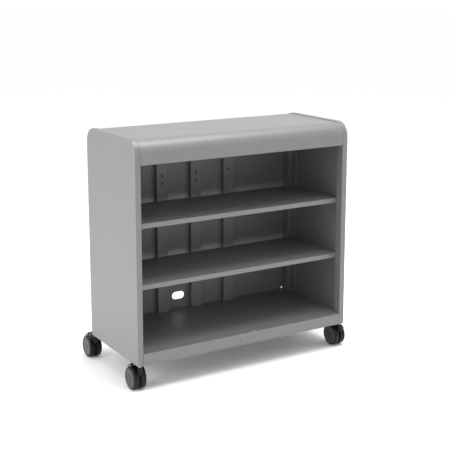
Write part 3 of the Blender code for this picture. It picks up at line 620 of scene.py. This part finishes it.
class BackPanel(bpy.types.Operator):
    """Build the back panel with its cable hole, and its three columns"""

    bl_idname = "book_cart.back_panel"
    bl_label = "Back Panel and Columns"

    def execute(self, context):
        sizes = context.scene.book_cart_case
        low, high = place("back_panel")
        joggle = 1.3 * sizes.gauge  # the step that lets the top edge lap behind the top sheet
        path = [
            (high.y, low.z), (high.y, high.z - 2 * joggle), (high.y - joggle, high.z - joggle),
            (high.y - joggle, high.z + sizes.lap),
        ]
        bm = strip([(low.x, y, z) for y, z in path], (high.x - low.x, 0, 0))
        plain = [
            edge for edge in bm.edges
            if len(edge.link_faces) == 1 and max(vert.co.z for vert in edge.verts) < high.z - joggle
            and edge.verts[0].co.x == edge.verts[1].co.x
        ]
        flange = bmesh.ops.extrude_edge_only(bm, edges=plain)["geom"]
        ends = [item for item in flange if isinstance(item, bmesh.types.BMVert)]
        bmesh.ops.translate(bm, verts=ends, vec=(0, -sizes.flange, 0))
        face_towards(bm, Vector((0, high.y + 1, low.z + 0.3)))
        sheet = piece_from("back_sheet", bm, paint())
        thicken(sheet, sizes.gauge)
        left_low, left_high = place("left_back_column")
        spacing = -(left_low.x + left_high.x) / 2
        centre = Vector((-spacing / 2, high.y, low.z + sizes.cable_level))
        oblong = rod(centre, sizes.cable_radius, 0.02, "Y", 32)
        for vert in oblong.verts:
            vert.co.x += math.copysign(sizes.cable_straight, vert.co.x - centre.x)
        holes = [oblong]
        for side in (-1, 1):
            spot = (side * (high.x - sizes.vent_inset), high.y, low.z + sizes.vent_level)
            holes.append(rod(spot, sizes.vent_hole, 0.01, "Y", 20))
        carve(sheet, holes)
        shade(sheet)
        hand_over(sheet, CASE, ["back_panel"])
        for name in ("left", "middle", "right"):
            self.column(name, sizes)
        return {"FINISHED"}

    def column(self, name, sizes):
        """A hat section with a teardrop hole over a round one."""
        low, high = place(f"{name}_back_column")
        x = (low.x + high.x) / 2
        wide = (high.x - low.x) / 2
        half = wide - sizes.column_flange
        root = high.y - sizes.gauge
        path = [(x - wide, root), (x - half, root), (x - half, low.y)]
        path += [(x + half, low.y), (x + half, root), (x + wide, root)]
        bm = strip([(px, y, low.z) for px, y in path], (0, 0, high.z - low.z))
        for px, y in path[1:5]:
            round_edges(bm, edges_through(bm, (px, y, 0), 2), sizes.bend, FOLD_STEPS)
        face_towards(bm, Vector((x, low.y - 1, high.z)))
        hat = piece_from(f"{name}_column_hat", bm, paint())
        thicken(hat, sizes.gauge)
        lower = place("back_panel")[0].z + sizes.hanging_level
        upper = lower + sizes.hanging_spacing
        round_hole = rod((x, low.y, lower), sizes.hanging_hole, CUT_LENGTH, "Y", 24)
        drop = rod((x, low.y, upper), sizes.hanging_hole, CUT_LENGTH, "Y", 24)
        # Drawing the top half up and in makes the teardrop.
        for vert in drop.verts:
            rise = vert.co.z - upper
            if rise > 0:
                vert.co.z += rise * 1.1
                vert.co.x = x + (vert.co.x - x) * (1 - 0.35 * rise / sizes.hanging_hole)
        carve(hat, [round_hole, drop])
        shade(hat)
        hand_over(hat, CASE, [f"{name}_back_column"])


class SlottedPosts(bpy.types.Operator):
    """Build the four corner posts with their rows of slots"""

    bl_idname = "book_cart.slotted_posts"
    bl_label = "Slotted Posts"

    def execute(self, context):
        sizes = context.scene.book_cart_posts
        side_high = place("right_side_panel")[1].x
        for corner, side, end in CORNERS:
            node = f"{corner}_post"
            low, high = place(node)
            near, far = (low.y, high.y) if end < 0 else (high.y, low.y)
            tuck, skin = (low.x, high.x) if side > 0 else (high.x, low.x)
            closing = far + end * sizes.wing
            face = side * (side_high - sizes.standoff - sizes.gauge)
            path = [(tuck, near), (tuck, closing), (face, closing), (face, far), (skin, far)]
            bm = strip([(x, y, low.z) for x, y in path], (0, 0, high.z - low.z))
            for x, y in path[1:4]:
                round_edges(bm, edges_through(bm, (x, y, 0), 2), sizes.bend, 3)
            face_towards(bm, Vector((tuck - side, near, high.z)))
            post = piece_from(f"{corner}_slotted_post", bm, paint())
            thicken(post, sizes.gauge)
            clip_high = place(f"lower_shelf_{corner}_clip")[1].z
            first = clip_high - sizes.clip_middle + sizes.slot_pitch / 2
            rows = self.slot_levels(first, low.z + sizes.end_margin, high.z - sizes.end_margin, sizes)
            carve(post, [self.slot_cutter(path, rows, sizes)])
            shade(post)
            hand_over(post, CASE, [node])
        return {"FINISHED"}

    def slot_levels(self, first, low, high, sizes):
        """Every slot's height, in step with the slots that hold the clips."""
        start = first - math.floor((first - low) / sizes.slot_pitch) * sizes.slot_pitch
        count = int((high - start) / sizes.slot_pitch) + 1
        return [start + i * sizes.slot_pitch for i in range(count)]

    def slot_cutter(self, path, rows, sizes):
        """One mesh of small blocks, a pair for each level: one in the closing face, one in the wing."""
        across = sizes.slot_width / 2
        tall = sizes.slot_height / 2
        deep = 2 * sizes.gauge
        (tuck, closing), (face, _), (_, far) = path[1:4]
        middle = Vector(((tuck + face) / 2, closing, 0))
        wing_middle = Vector((face, (closing + far) / 2, 0))
        parts = []
        for level in rows:
            rise = Vector((0, 0, level))
            for spot, reach in ((middle, (across, deep, tall)), (wing_middle, (deep, across, tall))):
                parts.append(block(spot + rise - Vector(reach), spot + rise + Vector(reach)))
        return merged(parts)


class Shelves(bpy.types.Operator):
    """Build the two shelves, and finish the clips that carry them"""

    bl_idname = "book_cart.shelves"
    bl_label = "Shelves and Clips"

    def execute(self, context):
        sizes = context.scene.book_cart_case
        for name in ("lower_shelf", "upper_shelf"):
            low, high = place(name)
            bm = block(low, high)
            under = min(bm.faces, key=lambda face: face.calc_center_median().z)
            bmesh.ops.inset_region(bm, faces=[under], thickness=sizes.shelf_lip, use_even_offset=True)
            bmesh.ops.delete(bm, geom=[under], context="FACES")
            round_edges(bm, folds_of(bm), sizes.bend, FOLD_STEPS)
            face_towards(bm, Vector((0, 0, high.z + 1)))
            pan = piece_from(f"{name}_pan", bm, paint())
            thicken(pan, sizes.gauge)
            shade(pan)
            hand_over(pan, CASE, [name])
            for corner, _, _ in CORNERS:
                finish_node(f"{name}_{corner}_clip", zinc())
        return {"FINISHED"}


def finish_node(node, material):
    """Gives a CAD node that stays in view a real finish."""
    mesh = frame["nodes"][node].data
    mesh.materials.clear()
    mesh.materials.append(material)


# ---------------------------------------------------------------- operators: casters


class Caster:
    """Where one caster's axes lie, read from its CAD nodes."""

    def __init__(self, corner):
        tread_low, tread_high = place(f"{corner}_left_tread")
        right_low, right_high = place(f"{corner}_right_tread")
        hub_low, _ = place(f"{corner}_left_hub")
        _, hub_high = place(f"{corner}_right_hub")
        stem_low, stem_high = place(f"{corner}_stem")
        self.corner = corner
        self.axle = (tread_low + right_high) / 2
        self.radius = (tread_high.z - tread_low.z) / 2
        self.half = (hub_high.x - hub_low.x) / 2
        self.gap_half = right_low.x - self.axle.x
        self.tread_width = right_high.x - right_low.x
        self.stem = Vector(((stem_low.x + stem_high.x) / 2, (stem_low.y + stem_high.y) / 2, 0))


class Wheels(bpy.types.Operator):
    """Build the eight wheels: soft tyres on dished grey centres"""

    bl_idname = "book_cart.wheels"
    bl_label = "Wheels"

    def execute(self, context):
        sizes = context.scene.book_cart_casters
        for corner, _, _ in CORNERS:
            caster = Caster(corner)
            for label, hand in (("left", -1), ("right", 1)):
                self.tyre(caster, label, hand, sizes)
                self.centre(caster, label, hand, sizes)
        return {"FINISHED"}

    def tyre(self, caster, label, hand, sizes):
        """A soft tyre with rounded shoulders."""
        near, far = caster.gap_half, caster.gap_half + caster.tread_width
        inner = caster.radius - sizes.tread
        bend = sizes.tread_round
        crown = caster.radius
        quarter = [math.radians(22.5 * step) for step in range(5)]
        shoulder = [(math.cos(angle), math.sin(angle)) for angle in quarter]
        profile = [(near, inner)]
        profile += [(near + bend - bend * c, crown - bend + bend * s) for c, s in shoulder]
        profile += [(far - bend + bend * c, crown - bend + bend * s) for c, s in reversed(shoulder)]
        profile += [(far, inner)]
        bm = turned([(hand * a, r) for a, r in profile], caster.axle, "X", WHEEL_STEPS)
        wheel = f"{caster.corner}_{label}"
        tyre = piece_from(f"{wheel}_tyre", bm, finish_of("thermoplastic_rubber", tread_rubber))
        shade(tyre, 50)
        hand_over(tyre, f"{wheel}_wheel", [f"{wheel}_tread"])

    def centre(self, caster, label, hand, sizes):
        """A moulded centre: a raised ring, a dished face and a low cap."""
        far = caster.half
        near = caster.gap_half - GAP
        rim = caster.radius - sizes.tread - GAP
        ring_in = rim - sizes.rim_width
        dish = far - sizes.dish
        cap_face = far - 0.0004
        hub = 0.009  # radius of the hub inside the wheel
        wall = 0.004
        low_cap = [(cap_face, 0), (cap_face, sizes.cap - 0.001), (far - 0.0008, sizes.cap)]
        dished_face = [
            (dish - 0.0006, sizes.cap + 0.0008), (dish - 0.0010, sizes.cap + 0.004),
            (dish, ring_in - 0.004), (dish + 0.0002, ring_in - 0.001),
        ]
        ring = [
            (far - 0.0006, ring_in), (far, ring_in + 0.0008), (far, rim - 0.0022),
            (far - 0.0008, rim - 0.0008), (far - 0.0022, rim),
        ]
        inside = [
            (near, rim), (near, rim - wall), (far - wall, rim - wall), (far - wall, hub),
            (near, hub), (near, 0),
        ]
        profile = low_cap + dished_face + ring + inside
        bm = turned([(hand * a, r) for a, r in profile], caster.axle, "X", WHEEL_STEPS)
        wheel = f"{caster.corner}_{label}"
        finish = finish_of("moulded_grey_polypropylene", wheel_polypropylene)
        centre = piece_from(f"{wheel}_wheel_centre", bm, finish)
        shade(centre, 32)
        hand_over(centre, f"{wheel}_wheel", [f"{wheel}_hub"])


class Hoods(bpy.types.Operator):
    """Build the four caster hoods, and finish the axles and sockets"""

    bl_idname = "book_cart.hoods"
    bl_label = "Caster Hoods"

    def execute(self, context):
        sizes = context.scene.book_cart_casters
        for corner, _, _ in CORNERS:
            caster = Caster(corner)
            low, high = place(f"{corner}_hood")
            inner = caster.radius + sizes.guard_gap
            outer = inner + sizes.guard
            half = (high.x - low.x) / 2
            parts = [self.guard(caster, inner, outer, half), *self.web(caster, inner, sizes)]
            parts += [self.boss(caster, high.z, sizes), *self.ears(caster, inner, sizes)]
            hood = piece_from(f"{corner}_wheel_hood", merged(parts), nylon())
            shade(hood, 38)
            hand_over(hood, f"{corner}_caster", [f"{corner}_hood"])
            finish_node(f"{corner}_axle", zinc())
            finish_node(f"{corner}_stem_socket", zinc())
        return {"FINISHED"}

    def guard(self, caster, inner, outer, half):
        """The curved plate over both wheels, with rounded edges."""
        ease = 0.0007
        profile = [
            (-half, inner), (half, inner), (half, outer - ease), (half - ease, outer),
            (-half + ease, outer), (-half, outer - ease),
        ]
        return turned(profile, caster.axle, "X", 40, HOOD_SWEEP, HOOD_START)

    def web(self, caster, inner, sizes):
        """The plate between the wheels, round the axle and up to the guard."""
        half = sizes.web / 2
        bore = 0.0045  # for the axle
        fan_root = sizes.web_reach - 0.004  # inside the round part, so that the two overlap
        fan_tip = inner + 0.001  # inside the guard
        round_part = [(-half, bore), (half, bore), (half, sizes.web_reach), (-half, sizes.web_reach)]
        fan = [(-half, fan_root), (half, fan_root), (half, fan_tip), (-half, fan_tip)]
        return (
            turned(round_part, caster.axle, "X", 64),
            turned(fan, caster.axle, "X", 32, HOOD_SWEEP, HOOD_START),
        )

    def boss(self, caster, top, sizes):
        """The swivel boss, with an eased shoulder and a bore for the pin."""
        foot = caster.radius + sizes.boss_foot
        shoulder = [
            (top - 0.0015, sizes.boss), (top - 0.0004, sizes.boss - 0.0006), (top, sizes.boss - 0.0016),
        ]
        profile = [(foot, sizes.boss_bore), (foot, sizes.boss), *shoulder, (top, sizes.boss_bore)]
        return turned(profile, caster.stem, "Z", 40)

    def ears(self, caster, inner, sizes):
        """Two rounded ears that hold the pedal's pins, each on a foot let into the guard."""
        pivot = pedal_axis(caster.corner)
        half = sizes.ear_width / 2
        foot = caster.radius + inner * math.sin(math.radians(65))
        made = []
        for side in (-1, 1):
            x = caster.axle.x + side * (sizes.neck / 2 + GAP + half)
            made.append(rod((x, pivot.y, pivot.z), sizes.ear, sizes.ear_width, "X", 32))
            low = (x - half, pivot.y - sizes.ear + 0.0005, foot)
            made.append(block(low, (x + half, pivot.y + 0.0015, pivot.z), 0.0004, 1))
        return made


def pedal_axis(corner):
    """Where a brake pedal's hinge lies."""
    for joint in frame["joints"]:
        if joint["name"] == f"{corner}_brake":
            return Vector(joint["pos_m"])
    raise RuntimeError(f"the frame has no brake joint at the {corner} caster")


class Stems(bpy.types.Operator):
    """Build the four plated stems between the case and the casters"""

    bl_idname = "book_cart.stems"
    bl_label = "Caster Stems"

    def execute(self, context):
        sizes = context.scene.book_cart_casters
        flange, collar, shank = sizes.stem_flange, sizes.collar, sizes.stem_shank
        for corner, _, _ in CORNERS:
            low, high = place(f"{corner}_stem")
            caster = Caster(corner)
            case_foot = place("back_panel")[0].z
            boss_top = place(f"{corner}_hood")[1].z + GAP
            pin = [(low.z, 0), (low.z, sizes.pin), (boss_top, sizes.pin)]
            neck = [(boss_top, collar - 0.0004), (boss_top + 0.0004, collar), (case_foot - 0.0037, collar)]
            rim = [
                (case_foot - 0.0033, collar + 0.0004), (case_foot - 0.0031, flange),
                (case_foot - 0.0006, flange), (case_foot - GAP, flange - 0.0003),
            ]
            tail = [(case_foot - GAP, shank), (high.z - 0.001, shank), (high.z, shank - 0.001), (high.z, 0)]
            profile = pin + neck + rim + tail
            stem = piece_from(f"{corner}_plated_stem", turned(profile, caster.stem, "Z", 40), zinc())
            shade(stem, 35)
            hand_over(stem, CASE, [f"{corner}_stem"])
        return {"FINISHED"}


class Pedals(bpy.types.Operator):
    """Build the four brake pedals"""

    bl_idname = "book_cart.pedals"
    bl_label = "Brake Pedals"

    def execute(self, context):
        sizes = context.scene.book_cart_casters
        for corner, _, _ in CORNERS:
            low, high = place(f"{corner}_brake_pedal")
            pivot = pedal_axis(corner)
            slope = self.slope(pivot, low, high, sizes)
            reach = (high.y - pivot.y - sizes.pedal / 2 * math.sin(slope)) / math.cos(slope)
            half = (high.x - low.x) / 2
            top = sizes.pedal / 2
            pad = block((-half, sizes.neck_reach, -top), (half, reach, top), 0.0012, 3)
            slim = sizes.neck / 2 - 0.0008
            neck_end = sizes.neck_reach + 0.0045  # inside the pad
            neck = block((-slim, 0.0005, -0.0015), (slim, neck_end, 0.0015), 0.0003, 1)
            parts = [pad, neck]
            for index in range(3):
                y = reach - 0.0035 - index * sizes.rib_spacing
                rib_low = (-half + 0.003, y - 0.0005, top - 0.0004)
                parts.append(block(rib_low, (half - 0.003, y + 0.0005, top - 0.0001), 0.0002, 1))
            bm = merged(parts)
            bmesh.ops.transform(bm, verts=bm.verts, matrix=Matrix.Rotation(-slope, 4, "X"))
            knuckle = rod((0, 0, 0), sizes.pedal, sizes.neck - 2 * GAP, "X", 28)
            pins = rod((0, 0, 0), sizes.pedal_pin, sizes.pedal_pins_span, "X", 20)
            bm = merged([bm, knuckle, pins])
            bmesh.ops.translate(bm, verts=bm.verts, vec=pivot)
            pedal = piece_from(f"{corner}_foot_pedal", bm, nylon())
            shade(pedal, 35)
            hand_over(pedal, f"{corner}_pedal", [f"{corner}_brake_pedal"])
        return {"FINISHED"}

    def slope(self, pivot, low, high, sizes):
        """The angle at which the pad falls away to the rear, closed in on from a first guess."""
        drop = pivot.z - low.z
        run = high.y - pivot.y
        angle = 0.4
        for _ in range(20):
            cos, sin = math.cos(angle), math.sin(angle)
            reach = (run - sizes.pedal / 2 * sin) / cos
            angle = math.asin(min(1, (drop - sizes.pedal / 2 * cos) / reach))
        return angle


# ---------------------------------------------------------------- operator: stage


class Stage(bpy.types.Operator):
    """Set the pale floor, the soft light and the camera"""

    bl_idname = "book_cart.stage"
    bl_label = "Stage"

    def execute(self, context):
        scene = context.scene
        bm = bmesh.new()
        bmesh.ops.create_circle(bm, cap_ends=True, segments=64, radius=60)
        floor = piece_from("studio_floor", bm, finish_of("pale_studio_vinyl", floor_vinyl))
        # Each softbox: its place, what it points at, its size in metres and its power in watts.
        self.softbox("left_softbox", (-4.0, 0.2, 1.6), (0, 0, 0.6), 2.4, 88)
        self.softbox("overhead_softbox", (0.6, -0.6, 4.2), (0, 0, 0.8), 2.2, 116)
        self.softbox("front_softbox", (-0.4, -2.6, 4.0), (0, 0, 0.6), 2.4, 12)
        self.surroundings(scene)
        self.camera(scene)
        scene.view_settings.view_transform = "Standard"
        return {"FINISHED"}

    def softbox(self, name, spot, aim, size, watts):
        """A square area light, turned to face a point."""
        light = bpy.data.lights.new(name, "AREA")
        light.size = size
        light.energy = watts
        lamp = bpy.data.objects.new(name, light)
        lamp.location = spot
        lamp.rotation_euler = (Vector(aim) - Vector(spot)).to_track_quat("-Z", "Y").to_euler()
        bpy.context.scene.collection.objects.link(lamp)

    def surroundings(self, scene):
        """A white room, a little darker overhead and on the side that the open front faces."""
        world = bpy.data.worlds.new("white_room")
        scene.world = world
        world.use_nodes = True
        tree = world.node_tree
        sky = tree.nodes["Background"]
        sky.inputs["Color"].default_value = (1, 1, 1, 1)
        where = add_node(tree, "ShaderNodeTexCoord", {}).outputs["Generated"]
        darker_side = (-0.25, -0.80, 0.545)
        towards = add_node(
            tree, "ShaderNodeVectorMath", {0: where, 1: darker_side}, operation="DOT_PRODUCT"
        )
        fade = {"From Min": 0.3, "From Max": 0.9, "To Min": 1.14, "To Max": 0.82}
        add_node(
            tree, "ShaderNodeMapRange", {"Value": towards.outputs["Value"], **fade},
            {"Result": sky.inputs["Strength"]}, interpolation_type="SMOOTHSTEP",
        )

    def camera(self, scene):
        """A long lens, a little to the left of the open front and above the top."""
        lens = bpy.data.cameras.new("camera")
        lens.lens = 80.36
        lens.shift_y = -0.10
        eye = bpy.data.objects.new("camera", lens)
        eye.location = (-2.2126, -3.7199, 1.6183)
        heading, pitch = math.radians(31.327), math.radians(10.948)
        forward = Vector(
            (math.sin(heading) * math.cos(pitch), math.cos(heading) * math.cos(pitch), -math.sin(pitch))
        )
        eye.rotation_euler = forward.to_track_quat("-Z", "Y").to_euler()
        scene.collection.objects.link(eye)
        scene.camera = eye


# ---------------------------------------------------------------- panel and registration

OPERATORS = (
    SidePanels, TopSheet, Deck, BackPanel, SlottedPosts, Shelves, Wheels, Hoods, Stems, Pedals, Stage,
)
GROUPS = {
    "book_cart_case": CaseSizes,
    "book_cart_posts": PostSizes,
    "book_cart_casters": CasterSizes,
    "book_cart_colours": Colours,
}


class BookCartPanel(bpy.types.Panel):
    """Sizes, colours and pieces of the book cart"""

    bl_idname = "VIEW3D_PT_book_cart"
    bl_label = "Book Cart"
    bl_space_type = "VIEW_3D"
    bl_region_type = "UI"
    bl_category = "Book Cart"

    def draw(self, context):
        for attribute, group in GROUPS.items():
            box = self.layout.box()
            for key in group.__annotations__:
                box.prop(getattr(context.scene, attribute), key)
        for operator in OPERATORS:
            self.layout.operator(operator.bl_idname)


def register():
    for cls in (*GROUPS.values(), *OPERATORS, BookCartPanel):
        bpy.utils.register_class(cls)
    for attribute, group in GROUPS.items():
        setattr(bpy.types.Scene, attribute, bpy.props.PointerProperty(type=group))


def unregister():
    for attribute in GROUPS:
        delattr(bpy.types.Scene, attribute)
    for cls in (BookCartPanel, *OPERATORS, *GROUPS.values()):
        bpy.utils.unregister_class(cls)


def main():
    register()
    for operator in OPERATORS:
        family, name = operator.bl_idname.split(".")
        getattr(getattr(bpy.ops, family), name)()


if __name__ == "__main__":
    main()
